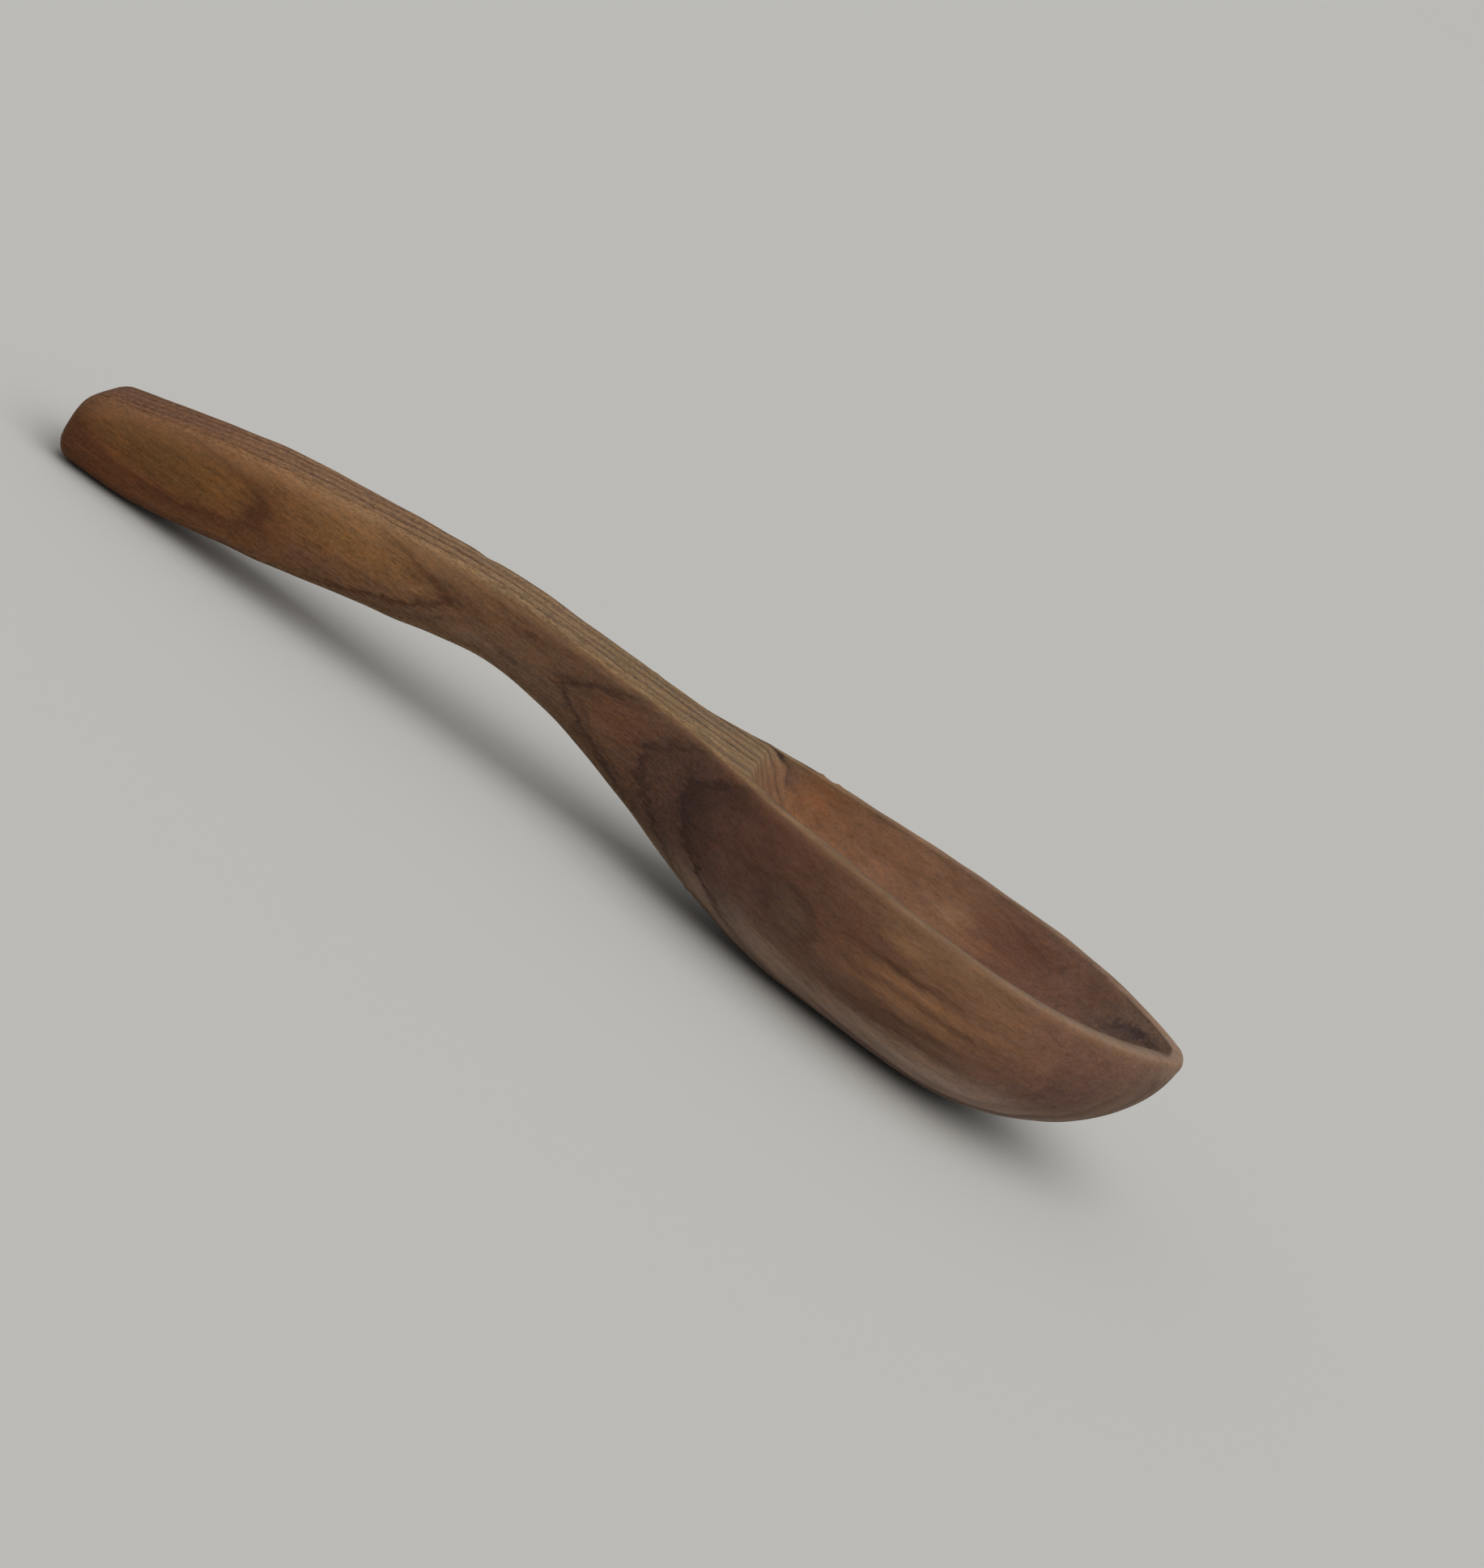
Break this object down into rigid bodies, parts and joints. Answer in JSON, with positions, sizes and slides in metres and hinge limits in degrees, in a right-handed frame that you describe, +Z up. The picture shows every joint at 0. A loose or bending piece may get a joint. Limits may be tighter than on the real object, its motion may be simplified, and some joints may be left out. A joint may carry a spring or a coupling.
{
  "type": "salt spoon",
  "caption": "Small carved wooden salt spoon with a deep leaf-shaped bowl and an arched handle that stands on its keel and heel.",
  "frame": {"origin": "on the table under the middle of the spoon's length and width", "axes": "+X along the spoon towards the tip of the bowl, +Y across it, +Z up out of the hollow"},
  "size_m": [0.07, 0.0154, 0.0099],
  "materials": {
    "wood": "smooth carved hardwood with a satin oil finish"
  },
  "bodies": {
    "root": {"spoon": "wood"}
  },
  "joints": []
}
